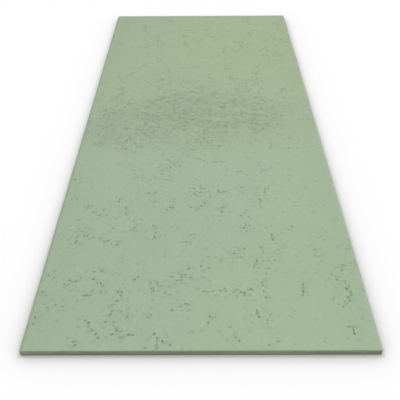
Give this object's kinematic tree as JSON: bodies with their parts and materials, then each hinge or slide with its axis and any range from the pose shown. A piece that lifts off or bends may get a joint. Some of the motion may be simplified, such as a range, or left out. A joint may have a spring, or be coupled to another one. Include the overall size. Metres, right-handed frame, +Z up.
{
  "type": "oriented strand board panel",
  "caption": "Flat square-edged sheet of oriented strand board, sage-green coated on one face, for sheathing, decking and lining.",
  "frame": {"origin": "centre of the bare back face, which the sheet lies on", "axes": "+X across the width, +Y along the length away from the picture's near edge, +Z up through the thickness, out of the coated face"},
  "size_m": [1.25, 3, 0.025],
  "materials": {
    "sage_coat": "matte",
    "sawn_edge": "matte",
    "bare_strands": "matte"
  },
  "bodies": {
    "root": {"strand_board_panel": "sage_coat"}
  },
  "joints": []
}
